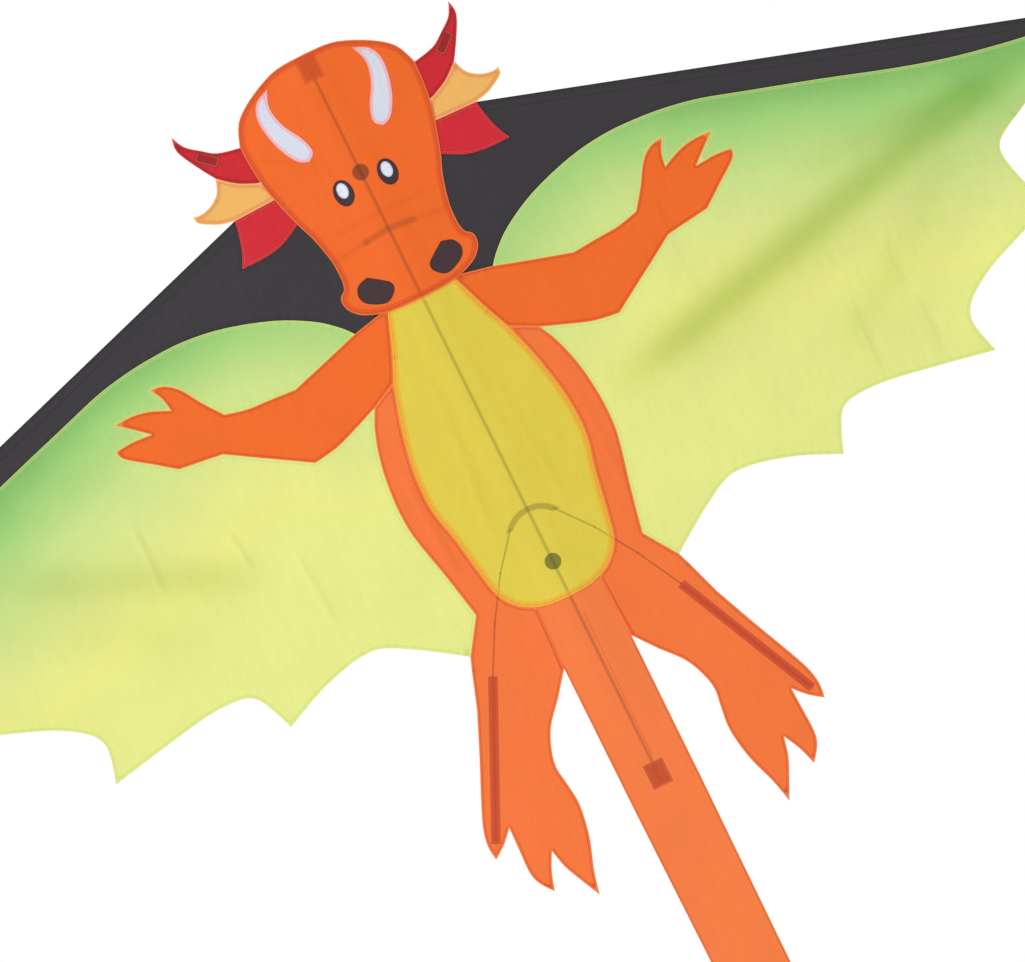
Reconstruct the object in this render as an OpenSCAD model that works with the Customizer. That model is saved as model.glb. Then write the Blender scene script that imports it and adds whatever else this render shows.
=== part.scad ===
// Dragon kite: a delta-wing single-line kite with a sewn dragon for a body.
// +Z is towards the head, the painted face looks along -Y, and the wings lie along X.
// The origin is the upper bridle point, on the spine behind the dragon's brow.
// Every outline below is a pattern: [distance from the spine, distance below the nose].

/* [Sail] */
// Wingspan the pattern is cut for, tip to tip, laid flat
wing_span = 1916; // [1880:4:1950]
// Thickness of one layer of sail cloth, with its coating and seams
cloth = 0.6; // [0.4:0.1:0.8]
// Angle that each wing leans back from the flat, at rest
dihedral = 4; // [3:1:12]
// Half width of the panels' middle strip, which stays on the spine
strip = 16; // [15:0.5:18]
// Gap between cloth pieces that move apart
crease = 1; // [0.8:0.1:1.5]
// Cloth of the next panel that is hidden behind the head's edge
allowance = 8; // [5:1:10]

/* [Tail] */
// Distance from the nose down to the tail's tip
tail_end_at = 2750; // [2400:50:2900]
// Half width of the tail at its narrow end
tail_half = 35; // [30:1:42]
// Length of the point that the tail ends in
tail_point = 70; // [40:5:120]

/* [Frame] */
// Distance of the spine's middle behind the sail
rod_y = 5; // [4.9:0.1:6]
// Radius of the spine tube and the leading edge spars
spar_r = 2.25; // [2:0.05:2.4]
// Radius of the hole through the spine tube
spine_bore_r = 1.35; // [1.2:0.05:1.4]
// Radius of the spreader rods
spreader_r = 2; // [1.8:0.1:2.1]
// Radius of the leg rods
leg_rod_r = 1.25; // [1:0.05:1.4]
// Radius of the horn rods
horn_rod_r = 1; // [0.8:0.1:1.2]
// Outer radius of the bent connector tubes
tube_r = 4; // [3.6:0.1:4.2]
// Outer radius of the collars that hold the tubes on the spine
collar_r = 4.2; // [4:0.1:4.2]
// Height of a collar
collar_h = 9; // [8:0.5:12]
// Running clearance round a rod
play = 0.05; // [0.03:0.01:0.1]

/* [Bridle] */
// Radius of a bridle patch
patch_r = 11; // [10:0.5:14]
// Thickness of a bridle patch
patch_t = 0.8; // [0.6:0.1:1]
// Radius of a bridle hole
hole_r = 1.5; // [1.2:0.1:2]
// Distance between the two holes of a patch
hole_pitch = 10; // [9.5:0.5:12]

/* [Pockets] */
// Wall of the sewn pockets
wall = 0.6; // [0.5:0.1:0.8]
// Width of the spine's pockets
spine_pocket_w = 28; // [24:1:30]
// Length of the spine's pockets
spine_pocket_l = 35; // [30:1:38]
// Width of the leg pockets
leg_pocket_w = 12.5; // [12:0.5:14]
// Size of the horn and spreader pockets: length and width
small_pocket = [31, 15]; // [12:1:34]

/* [Hidden] */
left = -1;
right = 1;

// The pattern is drawn for this wingspan and grows or shrinks with wing_span.
pattern_span = 1916;
unit = wing_span / pattern_span;

// Places along the spine, below the nose
bridle_at = 73;
lower_bridle_at = 643;
spreader_at = 155;
leg_hub_at = 567;
chin_at = 256;
belly_end_at = 694;
spine_top_at = -92;
spine_joint_at = 430;
spine_end_at = 968;
tail_hinges_at = [980, 1500, 2080];
nose_z = bridle_at * unit;

// Face of the eye patches and of the highlights, in front of the head
patch_face = 0.4;

// ---- Outlines of the right-hand half ----

// Top of the head, from the middle strip to the horn
head_top = [[17, -99], [48, -95], [88, -77], [115, -56], [128, -27]];
// Side of the head, from the horn to the narrow part of the muzzle
head_side = [[128, -27], [127, 0], [124, 28], [118, 55], [105, 98], [95, 124], [86, 162], [85, 190]];
// Muzzle and chin
muzzle = [[85, 190], [88, 202], [96, 209], [98, 218], [94, 230], [80, 243], [52, 253], [17, 256]];

// Horn: upper edge to the tip, then back along the lower edge
horn_upper = [[128, -26], [158, -33], [177, -46], [194, -60], [203, -78]];
horn_outer = [[203, -78], [205, -58], [190, -28], [175, -4]];
horn_lower = [[175, -4], [153, 14], [124, 28]];

ear_outer = [[175, -4], [183, 15], [198, 26], [214, 30], [224, 28]];
ear_under = [[224, 28], [222, 38], [208, 47], [195, 53], [177, 57]];
frill_outer = [[177, 57], [181, 78], [187, 99], [196, 118]];
frill_under = [[196, 118], [165, 118], [135, 113], [105, 98]];

// Leading edge of the wing, a straight line
edge_in = [177, 57];
edge_tip = [958, 302];
// Seam between the dark leading panel and the wing
front_seam = [
    [101, 260], [115, 244], [142, 222], [190, 197], [254, 177], [310, 169], [363, 170], [406, 175],
    [445, 183], [501, 200], [596, 229], [689, 259], [761, 279], [825, 292], [880, 301], [955, 311]
];
// Scallops of the trailing edge, from the wing tip inwards
scallops = [
    [[955, 311], [900, 336], [830, 376], [795, 394], [775, 408], [770, 428], [780, 470], [795, 512]],
    [[795, 512], [745, 530], [690, 552], [652, 576], [638, 596], [638, 618], [647, 652]],
    [[647, 652], [570, 637], [500, 625], [455, 624], [432, 632], [418, 655], [406, 686]],
    [[406, 686], [352, 662], [305, 648], [275, 644], [251, 647], [212, 668], [168, 697], [153, 708]]
];

// Arm, from its upper corner round the hand to the armpit
arm_edge = [
    [[101, 260], [150, 275], [204, 291]],
    [[204, 291], [242, 288], [272, 286], [302, 279]],
    [[302, 279], [322, 252], [340, 224], [358, 210], [376, 207]],
    [[376, 207], [367, 224], [363, 243]],
    [[363, 243], [388, 232], [413, 227], [438, 228]],
    [[438, 228], [421, 242], [400, 260]],
    [[400, 260], [428, 258], [452, 260]],
    [[452, 260], [447, 273], [416, 296], [388, 317]],
    [[388, 317], [357, 321], [327, 325]],
    [[327, 325], [290, 348], [262, 365], [223, 389]],
    [[223, 389], [190, 384], [160, 374], [121, 359]]
];
// Side of the torso, from the armpit to the hip, and the thigh's edge below it
torso_side = [
    [121, 359], [134, 386], [146, 428], [152, 475], [152, 517], [147, 548], [135, 599], [122, 662]
];
hip_edge = [[122, 662], [153, 708]];
// Edge of the belly, from the chin down to the tail
belly_top = [[50, 254], [66, 298], [84, 340]];
belly_side = [
    [84, 340], [99, 389], [110, 440], [114, 478], [113, 516], [103, 560], [94, 612], [85, 652],
    [67, 676], [46, 688]
];
belly_foot = [[46, 688], [32, 692], [17, 694]];

// The foot turns about the leg rod, so it is cut off square to it.
foot_axis = [[138, 744], [232, 943]];
crotch = [49, 776];
ankle = [159, 724];
foot_outer = [[159, 724], [176, 774], [201, 832], [228, 892], [239, 920], [243, 942], [241, 962]];
toes = [
    [[241, 962], [222, 948], [207, 932]],
    [[207, 932], [208, 962], [209, 995], [204, 1014], [190, 1033]],
    [[190, 1033], [182, 1008], [170, 984]],
    [[170, 984], [164, 1009], [154, 1032], [139, 1063]]
];
foot_inner = [
    [139, 1063], [131, 1030], [117, 988], [110, 945], [113, 912], [116, 888], [111, 864], [98, 836],
    [74, 808], [49, 776]
];

brow_outer = [[62, -79], [82, -69], [91, -50], [89, -23], [80, 5], [67, 25], [54, 31]];
brow_inner = [[54, 31], [44, 21], [49, 0], [64, -27], [70, -55], [62, -79]];
nostril = [
    [54, 201], [69, 206], [75, 220], [67, 233], [44, 242], [29, 232], [28, 221], [38, 212], [54, 201]
];
eye_at = [32, 88];
eye_half = [13, 18];
shine_half = [7.5, 10.8];
shine_rise = 3.4;

// Frame, in the same pattern
spreader_tip = [545, 188];
spreader_bow = 8;
arm_reach = 34;
arm_slope = 6.8;
rod_in_arm = 9;
joint_bulge = 0.04;
leg_tube_bend_r = 43;
leg_tube_half = 46;
leg_rod_bow = 5.7;
leg_rod_short = 4;
spreader_pocket_set = [-13, 1];
horn_bow_r = 256;
horn_bow_at = 34;
horn_bow_y = 8.6;
horn_rod_from = 8;
horn_rod_to = 183;
horn_pocket_at = [174, -33];
horn_pocket_turn = 41;
sleeve_r = 3.6;
sleeve_bore_r = 3;
cap_wall = 0.5;
cap_l = 10;
ferrule_l = 60;
fine = 720;
round = 48;

// ---- Curves ----

// A smooth curve through every point of a list, ending just short of the last one
function lean(a, b, c, d, t) = 0.5 * (2 * b + (c - a) * t + (2 * a - 5 * b + 4 * c - d) * t * t
    + (3 * b - a - 3 * c + d) * t * t * t);
function smooth(p, n = 4) = len(p) < 3 ? [p[0]] : [
    for (i = [0 : len(p) - 2], k = [0 : n - 1])
        lean(p[max(i - 1, 0)], p[i], p[i + 1], p[min(i + 2, len(p) - 1)], k / n)
];
function reversed(p) = [for (i = [len(p) - 1 : -1 : 0]) p[i]];
function shifted(p, by) = [for (q = p) q + by];
// From the pattern's [across, down] to the drawing's [x, y]
function spot(p) = [p[0], -p[1]] * unit;

// A piece cut along a list of curves, each starting where the last one ends
module cut(curves) {
    polygon([for (c = curves) each [for (p = smooth(c)) spot(p)]]);
}

// Stands a flat drawing up behind the plane y = front
module layer(front, thick = cloth) {
    translate([0, front + thick, nose_z]) rotate([90, 0, 0]) linear_extrude(thick) children();
}

// Puts a right-hand piece on its wing, leaning back about the spine
module wing(side) {
    mirror([side < 0 ? 1 : 0, 0, 0])
        translate([0, rod_y, 0]) rotate([0, 0, dihedral]) translate([0, -rod_y, 0]) children();
}

// Stands a drawing's origin at a place in the pattern, in the plane of the rods
module at(p, y = rod_y) {
    translate([spot(p)[0], y, nose_z + spot(p)[1]]) children();
}

// A straight round bar between two places
module bar(a, b, r, y = rod_y) {
    d = spot(b) - spot(a);
    at(a, y) rotate([0, atan2(d[0], d[1]), 0]) cylinder(h = norm(d), r = r, $fn = round);
}

// A bowed bar that bulges to the left of the way from a to b
module bow(a, b, rise, r) {
    p = spot(a);
    q = spot(b);
    half = norm(q - p) / 2;
    bend = (half * half + rise * rise) / (2 * rise);
    aside = [p[1] - q[1], q[0] - p[0]] / (2 * half);
    centre = (p + q) / 2 - aside * (bend - rise);
    from = atan2(q[1] - centre[1], q[0] - centre[0]);
    translate([centre[0], rod_y, nose_z + centre[1]]) rotate([90, 0, 0]) rotate([0, 0, from])
        rotate_extrude(angle = 2 * asin(half / bend), $fn = fine)
            translate([bend, 0]) circle(r = r, $fn = round);
}

// A flat sewn pocket on the back of the cloth, open at its upper end before it is turned
module pocket(p, turn, long, wide, inside) {
    deep = inside[1] + wall - cloth;
    at(p, 0) rotate([0, turn, 0]) difference() {
        translate([-wide / 2, cloth, -long / 2]) cube([wide, deep, long]);
        translate([wall - wide / 2, inside[0], wall - long / 2])
            cube([wide - 2 * wall, inside[1] - inside[0], long]);
    }
}

module strip_of(top, bottom) {
    difference() {
        polygon([for (p = [[-strip, top], [strip, top], [strip, bottom], [-strip, bottom]]) spot(p)]);
        children();
    }
}

module bridle_holes(down) {
    for (side = [left, right])
        translate(spot([0, down])) translate([side * hole_pitch / 2, 0]) circle(r = hole_r, $fn = round);
}

// ---- Frame on the spine ----

module spine_tube(top, bottom) {
    color("dimgray") difference() {
        bar([0, bottom], [0, top], spar_r);
        bar([0, bottom + 1], [0, top - 1], spine_bore_r);
    }
}

module spine_upper() {
    spine_tube(spine_top_at, spine_joint_at);
}

module spine_lower() {
    spine_tube(spine_joint_at + play, spine_end_at);
}

module spine_ferrule() {
    half = ferrule_l / 2;
    color("gray") bar([0, spine_joint_at + half], [0, spine_joint_at - half], spine_bore_r - play);
}

module end_cap() {
    difference() {
        translate([0, 0, -1]) cylinder(h = cap_l, r = spar_r + cap_wall, $fn = round);
        cylinder(h = cap_l, r = spar_r, $fn = round);
    }
}

module spine_caps() {
    color("black") {
        at([0, spine_end_at]) end_cap();
        at([0, spine_top_at]) rotate([180, 0, 0]) end_cap();
    }
}

module spine_pockets() {
    room = [cloth + wall, rod_y + spar_r + 3 * cap_wall];
    color("saddlebrown") {
        pocket([0, spine_end_at - 14], 0, spine_pocket_l, spine_pocket_w, room);
        translate([0, -cloth, 0]) pocket([0, spine_top_at + 13], 180, spine_pocket_l, spine_pocket_w, room);
    }
}

module bridle_patches() {
    color("darkslategray") {
        layer(0, patch_t) difference() {
            translate(spot([0, bridle_at])) circle(r = patch_r, $fn = round);
            bridle_holes(bridle_at);
        }
        layer(cloth, patch_t) difference() {
            translate(spot([0, lower_bridle_at])) circle(r = patch_r, $fn = round);
            bridle_holes(lower_bridle_at);
        }
    }
}

module collar(down) {
    color("black") at([0, down]) difference() {
        translate([0, 0, -collar_h / 2]) cylinder(h = collar_h, r = collar_r, $fn = round);
        translate([0, 0, -collar_h]) cylinder(h = 2 * collar_h, r = spar_r + play, $fn = round);
    }
}

module spreader_hub() {
    collar(spreader_at);
}

module leg_hub() {
    collar(leg_hub_at);
}

// ---- Frame on the wings ----

// The connector's arm starts beside the collar and slopes a little towards the tail.
arm_from = collar_r + 0.8;
function arm_point(x) = [x, spreader_at + x * tan(arm_slope)];

module spreader_arm(side) {
    color("black") wing(side) difference() {
        bar(arm_point(arm_from), arm_point(arm_reach), tube_r);
        bar(arm_point(0), arm_point(2 * arm_reach), spreader_r + 3 * play);
    }
}

module spreader_rod(side) {
    color("dimgray") wing(side) {
        bow(spreader_tip, arm_point(rod_in_arm), spreader_bow, spreader_r);
    }
}

module spreader_pocket(side) {
    room = [cloth + wall, rod_y + spreader_r + 0.6];
    color("saddlebrown") wing(side)
        pocket(spreader_tip + spreader_pocket_set, -90, small_pocket[0], small_pocket[1], room);
}

// Along the leading edge, inside the sleeve
edge_way = (edge_tip - edge_in) / norm(edge_tip - edge_in);
edge_in_set = [-edge_way[1], edge_way[0]] * sleeve_r;
function edge_point(d) = edge_in + edge_way * d + edge_in_set;
edge_l = norm(edge_tip - edge_in);
sleeve_from = 11;
sleeve_to = edge_l - 5;
sleeve_bore_to = edge_l - 9;
spar_from = 16;
spar_to = edge_l - 12;

module leading_spar(side) {
    color("dimgray") wing(side) bar(edge_point(spar_from), edge_point(spar_to), spar_r, sleeve_r + 0.05);
}

module spar_caps(side) {
    turn = atan2(edge_way[0], -edge_way[1]);
    color("black") wing(side) {
        at(edge_point(spar_to), sleeve_r + 0.05) rotate([0, turn + 180, 0]) end_cap();
        at(edge_point(spar_from), sleeve_r + 0.05) rotate([0, turn, 0]) end_cap();
    }
}

foot_way = (foot_axis[1] - foot_axis[0]) / norm(foot_axis[1] - foot_axis[0]);

// Part of the bent leg tube, between two angles off the spine
module leg_bend(from, to, r) {
    at([0, leg_hub_at + leg_tube_bend_r]) rotate([90, 0, 0]) rotate([0, 0, 90 - to])
        rotate_extrude(angle = to - from, $fn = fine)
            translate([leg_tube_bend_r, 0]) circle(r = r, $fn = round);
}
leg_tube_from = 8;
leg_tube_end = [
    leg_tube_bend_r * sin(leg_tube_half),
    leg_hub_at + leg_tube_bend_r * (1 - cos(leg_tube_half))
];

module leg_arm(side) {
    color("black") wing(side) difference() {
        leg_bend(leg_tube_from, leg_tube_half, tube_r);
        leg_bend(leg_tube_from - 1, leg_tube_half + 1, leg_rod_r + 2 * play);
    }
}

module leg_rod(side) {
    color("dimgray") wing(side) {
        leg_bend(leg_tube_from + 6, leg_tube_half, leg_rod_r);
        at(leg_tube_end) sphere(r = leg_rod_r + joint_bulge, $fn = round);
        bow(leg_tube_end, foot_axis[0], leg_rod_bow, leg_rod_r);
        at(foot_axis[0]) sphere(r = leg_rod_r + joint_bulge, $fn = round);
        bar(foot_axis[0], foot_axis[1] - foot_way * leg_rod_short, leg_rod_r);
    }
}

// The pocket turns with the foot about the rod, so its room is deeper than the rod is thick.
module leg_pocket(side) {
    room = [rod_y - 2.4, rod_y + 2.4];
    long = norm(foot_axis[1] - foot_axis[0]);
    turn = -atan2(foot_way[0], foot_way[1]);
    color("saddlebrown") wing(side)
        pocket((foot_axis[0] + foot_axis[1]) / 2, turn, long, leg_pocket_w, room);
}

// The horn rod bows under the brow, behind the spine, and comes forward to the horn.
module horn_rod(side) {
    from = asin(horn_rod_from / horn_bow_r);
    to = asin(horn_rod_to / horn_bow_r);
    forward = atan((horn_bow_y - rod_y) / horn_rod_to);
    color("dimgray") wing(side) translate([0, horn_bow_y, 0]) rotate([0, 0, -forward])
        at([0, horn_bow_at - horn_bow_r], 0) rotate([90, 0, 0]) rotate([0, 0, from - 90])
            rotate_extrude(angle = to - from, $fn = fine)
                translate([horn_bow_r, 0]) circle(r = horn_rod_r, $fn = round);
}

module horn_pocket(side) {
    room = [cloth + wall, rod_y + 2];
    color("saddlebrown") wing(side)
        pocket(horn_pocket_at, -90 - horn_pocket_turn, small_pocket[0], small_pocket[1], room);
}

// ---- Head ----

module head_middle() {
    color("orangered") layer(-cloth) strip_of(-99, chin_at) bridle_holes(bridle_at);
}

module head(side) {
    color("orangered") wing(side) layer(-cloth)
        cut([head_top, head_side, muzzle, [[17, 256], [17, -99]]]);
}

module horn(side) {
    hidden = [-allowance, 0];
    color("crimson") wing(side) layer(0)
        cut([horn_upper, horn_outer, horn_lower, shifted([[124, 28], [127, 0], [128, -26]], hidden)]);
}

module ear(side) {
    hidden = [-allowance, 0];
    color("burlywood") wing(side) layer(0)
        cut([ear_outer, ear_under, [[177, 57], [118, 55] + hidden],
            shifted([[118, 55], [124, 28]], hidden), reversed(horn_lower)]);
}

module frill(side) {
    hidden = [-allowance, 0];
    color("firebrick") wing(side) layer(0)
        cut([frill_outer, frill_under, [[105, 98], [105, 98] + hidden],
            shifted([[105, 98], [118, 55]], hidden), [[118, 55] + hidden, [177, 57]]]);
}

module brow_stripe(side) {
    color("lightsteelblue") wing(side) layer(-cloth - patch_face, patch_face) cut([brow_outer, brow_inner]);
}

module oval(half) {
    scale([half[0] / half[1], 1]) circle(r = half[1], $fn = round);
}

module face_patches(side) {
    color("black") wing(side) layer(-cloth - patch_face, patch_face) {
        translate(spot(eye_at)) oval(eye_half);
        cut([nostril]);
    }
}

module eye_shine(side) {
    color("white") wing(side) layer(-cloth - 2 * patch_face, patch_face)
        translate(spot(eye_at) + [0, shine_rise]) oval(shine_half);
}

// ---- Wings ----

// Dark panel, cut away under the head, with a sleeve sewn along the leading edge
module leading_panel(side) {
    hidden = [-allowance, 0];
    under_head = shifted([[105, 98], [95, 124], [86, 162], [85, 190], [96, 214], [80, 240]], hidden);
    color("dimgray") wing(side) {
        layer(0) cut([[edge_in, edge_tip], [edge_tip, [955, 311]], reversed(front_seam),
            [[101, 260], [54, 250]], [[54, 250], [72, 240]], reversed(under_head),
            [[105, 98] + hidden, [105, 98]], reversed(frill_under), reversed(frill_outer)]);
        difference() {
            bar(edge_point(sleeve_from), edge_point(sleeve_to), sleeve_r, sleeve_r + 0.05);
            bar(edge_point(0), edge_point(sleeve_bore_to), sleeve_bore_r, sleeve_r + 0.05);
        }
    }
}

module wing_panel(side) {
    color("yellowgreen") wing(side) layer(0)
        cut(concat([front_seam], scallops, [reversed(hip_edge), reversed(torso_side)],
            [for (c = reversed(arm_edge)) reversed(c)]));
}

module arm(side) {
    color("orangered") wing(side) layer(0)
        cut(concat(arm_edge, [[[121, 359], [84, 340]], reversed(belly_top), [[50, 254], [54, 250]],
            [[54, 250], [101, 260]]]));
}

// ---- Body ----

module belly_middle() {
    color("khaki") layer(0) strip_of(chin_at, belly_end_at) bridle_holes(lower_bridle_at);
}

module belly(side) {
    color("khaki") wing(side) layer(0)
        cut([[[17, 256], [50, 254]], belly_top, belly_side, belly_foot, [[17, 694], [17, 256]]]);
}

module torso(side) {
    color("orangered") wing(side) layer(0)
        cut([torso_side, hip_edge, [[153, 708], ankle], [ankle, crotch], [crotch, [46, 690]],
            [[46, 690], [46, 688]], reversed(belly_side), [[84, 340], [121, 359]]]);
}

module foot(side) {
    below = [0, crease];
    color("orangered") wing(side) layer(0)
        cut(concat([[ankle + below, foot_outer[1]], [for (i = [1 : len(foot_outer) - 1]) foot_outer[i]]],
            toes, [[for (i = [0 : len(foot_inner) - 2]) foot_inner[i]],
            [foot_inner[len(foot_inner) - 2], crotch + below], [crotch + below, ankle + below]]));
}

// ---- Tail ----

function tail_half_at(down) = lookup(down, [
    [690, 44.5], [776, 47.5], [980, 49], [tail_end_at - tail_point, tail_half]
]);

module tail_part(top, bottom) {
    polygon([for (p = [
        [-tail_half_at(top), top], [tail_half_at(top), top],
        [tail_half_at(bottom), bottom], [-tail_half_at(bottom), bottom]
    ]) spot(p)]);
}

module tail_upper() {
    color("orangered") layer(0) {
        polygon([for (p = [[-44.5, 690.5], [-20, 695.5], [20, 695.5], [44.5, 690.5],
            [47.5, 776], [-47.5, 776]]) spot(p)]);
        tail_part(776, tail_hinges_at[0] - crease);
    }
}

module tail_middle() {
    color("orangered") layer(0) tail_part(tail_hinges_at[0] + crease, tail_hinges_at[1] - crease);
}

module tail_lower() {
    color("orangered") layer(0) tail_part(tail_hinges_at[1] + crease, tail_hinges_at[2] - crease);
}

// The last of the ribbon, cut to a point
module tail_end() {
    point_from = tail_end_at - tail_point;
    color("orangered") layer(0) {
        tail_part(tail_hinges_at[2] + crease, point_from);
        polygon([for (p = [[-tail_half, point_from], [tail_half, point_from], [0, tail_end_at]]) spot(p)]);
    }
}

spine_upper();
spine_lower();
spine_ferrule();
spine_caps();
spine_pockets();
bridle_patches();
spreader_hub();
leg_hub();
spreader_arm(left);  // spreader_arm_left
spreader_arm(right);  // spreader_arm_right
spreader_rod(left);  // spreader_rod_left
spreader_rod(right);  // spreader_rod_right
spreader_pocket(left);  // spreader_pocket_left
spreader_pocket(right);  // spreader_pocket_right
leading_spar(left);  // leading_spar_left
leading_spar(right);  // leading_spar_right
spar_caps(left);  // spar_caps_left
spar_caps(right);  // spar_caps_right
leg_arm(left);  // leg_arm_left
leg_arm(right);  // leg_arm_right
leg_rod(left);  // leg_rod_left
leg_rod(right);  // leg_rod_right
leg_pocket(left);  // leg_pocket_left
leg_pocket(right);  // leg_pocket_right
horn_rod(left);  // horn_rod_left
horn_rod(right);  // horn_rod_right
horn_pocket(left);  // horn_pocket_left
horn_pocket(right);  // horn_pocket_right
head_middle();
head(left);  // head_left
head(right);  // head_right
horn(left);  // horn_left
horn(right);  // horn_right
ear(left);  // ear_left
ear(right);  // ear_right
frill(left);  // frill_left
frill(right);  // frill_right
brow_stripe(left);  // brow_stripe_left
brow_stripe(right);  // brow_stripe_right
face_patches(left);  // face_patches_left
face_patches(right);  // face_patches_right
eye_shine(left);  // eye_shine_left
eye_shine(right);  // eye_shine_right
leading_panel(left);  // leading_panel_left
leading_panel(right);  // leading_panel_right
wing_panel(left);  // wing_panel_left
wing_panel(right);  // wing_panel_right
arm(left);  // arm_left
arm(right);  // arm_right
belly_middle();
belly(left);  // belly_left
belly(right);  // belly_right
torso(left);  // torso_left
torso(right);  // torso_right
foot(left);  // foot_left
foot(right);  // foot_right
tail_upper();
tail_middle();
tail_lower();
tail_end();
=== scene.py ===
"""Dragon kite: the sewn sail, its pockets and its finishes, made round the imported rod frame.

Patterns are in millimetres as (across, down): out from the spine, and down from the nose.
"""

import logging
import math
from dataclasses import dataclass, replace
from enum import Enum
from typing import Callable, Mapping, Optional, Sequence, Union

import bmesh
import bpy
import numpy as np
from mathutils import Matrix, Vector
from mathutils.geometry import delaunay_2d_cdt


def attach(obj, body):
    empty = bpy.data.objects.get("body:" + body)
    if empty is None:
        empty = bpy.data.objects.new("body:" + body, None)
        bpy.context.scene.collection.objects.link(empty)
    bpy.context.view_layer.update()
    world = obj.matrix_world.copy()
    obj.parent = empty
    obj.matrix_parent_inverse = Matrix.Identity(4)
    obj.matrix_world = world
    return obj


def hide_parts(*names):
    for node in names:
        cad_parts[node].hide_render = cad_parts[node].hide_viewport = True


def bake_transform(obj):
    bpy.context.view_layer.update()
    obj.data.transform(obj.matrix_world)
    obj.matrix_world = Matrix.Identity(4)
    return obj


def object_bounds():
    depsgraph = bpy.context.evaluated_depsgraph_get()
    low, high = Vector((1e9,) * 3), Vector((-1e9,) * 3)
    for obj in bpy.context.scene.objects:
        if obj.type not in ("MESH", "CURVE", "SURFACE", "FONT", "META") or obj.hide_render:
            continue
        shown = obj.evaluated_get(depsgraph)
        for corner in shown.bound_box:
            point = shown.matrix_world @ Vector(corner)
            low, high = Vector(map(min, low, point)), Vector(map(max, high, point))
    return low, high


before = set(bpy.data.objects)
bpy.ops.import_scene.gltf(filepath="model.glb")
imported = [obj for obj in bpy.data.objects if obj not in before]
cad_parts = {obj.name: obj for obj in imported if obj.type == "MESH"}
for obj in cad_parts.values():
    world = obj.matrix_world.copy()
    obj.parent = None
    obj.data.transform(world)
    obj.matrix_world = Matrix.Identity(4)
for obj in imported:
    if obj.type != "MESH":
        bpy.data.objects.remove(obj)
CAD_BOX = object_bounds()

log = logging.getLogger("kite")

NOSE = 73.0
ROD_Y = 5.0
DIHEDRAL = math.radians(4)
FOOT_SPLIT = 825.0
FOOT_LAG = 18.0
LEG_MOUTH = (138.0, 744.0)
LEG_END = (232.0, 943.0)
CLOTH_THICK = 0.0004
SPINE_STRIP = 17.5
Colour = tuple[float, float, float]
Socket = bpy.types.NodeSocket
Sockets = Mapping[str, Socket]
Input = Union[Socket, float, tuple]


class Side(Enum):
    """Which half of the kite a piece is on, seen from its painted face."""

    LEFT = -1
    RIGHT = 1

    @property
    def word(self) -> str:
        """The side as it stands in names."""
        return self.name.lower()

    @property
    def wing(self) -> str:
        """The body of this side's wing."""
        return f"{self.word}_wing"

    @property
    def foot(self) -> str:
        """The body of this side's foot."""
        return f"{self.word}_foot"


def tone(red: int, green: int, blue: int) -> Colour:
    """A display colour as the linear values that a shader takes."""
    return tuple(
        c / 12.92 if c <= 0.04045 else ((c + 0.055) / 1.055) ** 2.4
        for c in (red / 255, green / 255, blue / 255)
    )


def ease(t: np.ndarray) -> np.ndarray:
    """0 below 0, 1 above 1, and a smooth step between."""
    t = np.clip(t, 0, 1)
    return t * t * (3 - 2 * t)


# ---- From the pattern to the kite ----


def to_pattern(points: np.ndarray, side: Optional[Side]) -> np.ndarray:
    """(across, depth, down) of points on the kite.

    Args:
        points: metres, one row each.
        side: the wing that the points lie on, or None on the spine.

    Returns:
        Those three for each point, in millimetres.
    """
    x, y, z = points.T * 1000
    if side is None:
        return np.stack([x, y, NOSE - z], 1)
    c, s = math.cos(DIHEDRAL), math.sin(DIHEDRAL)
    x = x * side.value
    return np.stack([x * c + (y - ROD_Y) * s, (y - ROD_Y) * c - x * s + ROD_Y, NOSE - z], 1)


def to_kite(across: np.ndarray, down: np.ndarray, depth: np.ndarray, side: Optional[Side]) -> np.ndarray:
    """Points on the kite. Near the spine the cloth eases from flat to the wing's lean.

    Args:
        across, down: pattern points, in millimetres.
        depth: how far back they lie.
        side: their wing, or None on the spine.

    Returns:
        A row for each, in metres.
    """
    c, s = math.cos(DIHEDRAL), math.sin(DIHEDRAL)
    out = abs(across)
    leaned = ease((out - 4) / 30)
    if side is None:
        leaned = leaned * (1 - ease((down - 740) / 180))
    x = out + leaned * (out * c - (depth - ROD_Y) * s - out)
    y = depth + leaned * (out * s + (depth - ROD_Y) * c + ROD_Y - depth)
    return np.stack([x * (np.sign(across) if side is None else side.value), y, NOSE - down], 1) / 1000


@dataclass(frozen=True)
class Fold:
    """A soft fold or a sharp crease in a wing, from one pattern point to another, with painted shade on its
    far flank.
    """

    side: Side
    start: tuple[float, float]
    end: tuple[float, float]
    width: float
    lift: float

    def profile(self, across: np.ndarray, down: np.ndarray) -> tuple[np.ndarray, np.ndarray]:
        """What the fold does at pattern points.

        Args:
            across, down: the points, in millimetres.

        Returns:
            How far the cloth comes forward, and how shaded its far flank is.
        """
        a, b = np.array(self.start), np.array(self.end)
        way = (b - a) / np.linalg.norm(b - a)
        offset = np.stack([across, down], 1) - a
        along = offset @ way / np.linalg.norm(b - a)
        off = offset @ np.array([-way[1], way[0]])
        ends = ease(along / 0.25) * ease((1 - along) / 0.25)
        ridge = np.exp(-((off / self.width) ** 2)) * ends
        flank = np.exp(-(((off - self.width) / self.width) ** 2)) * ends
        return ridge * self.lift, flank


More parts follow.
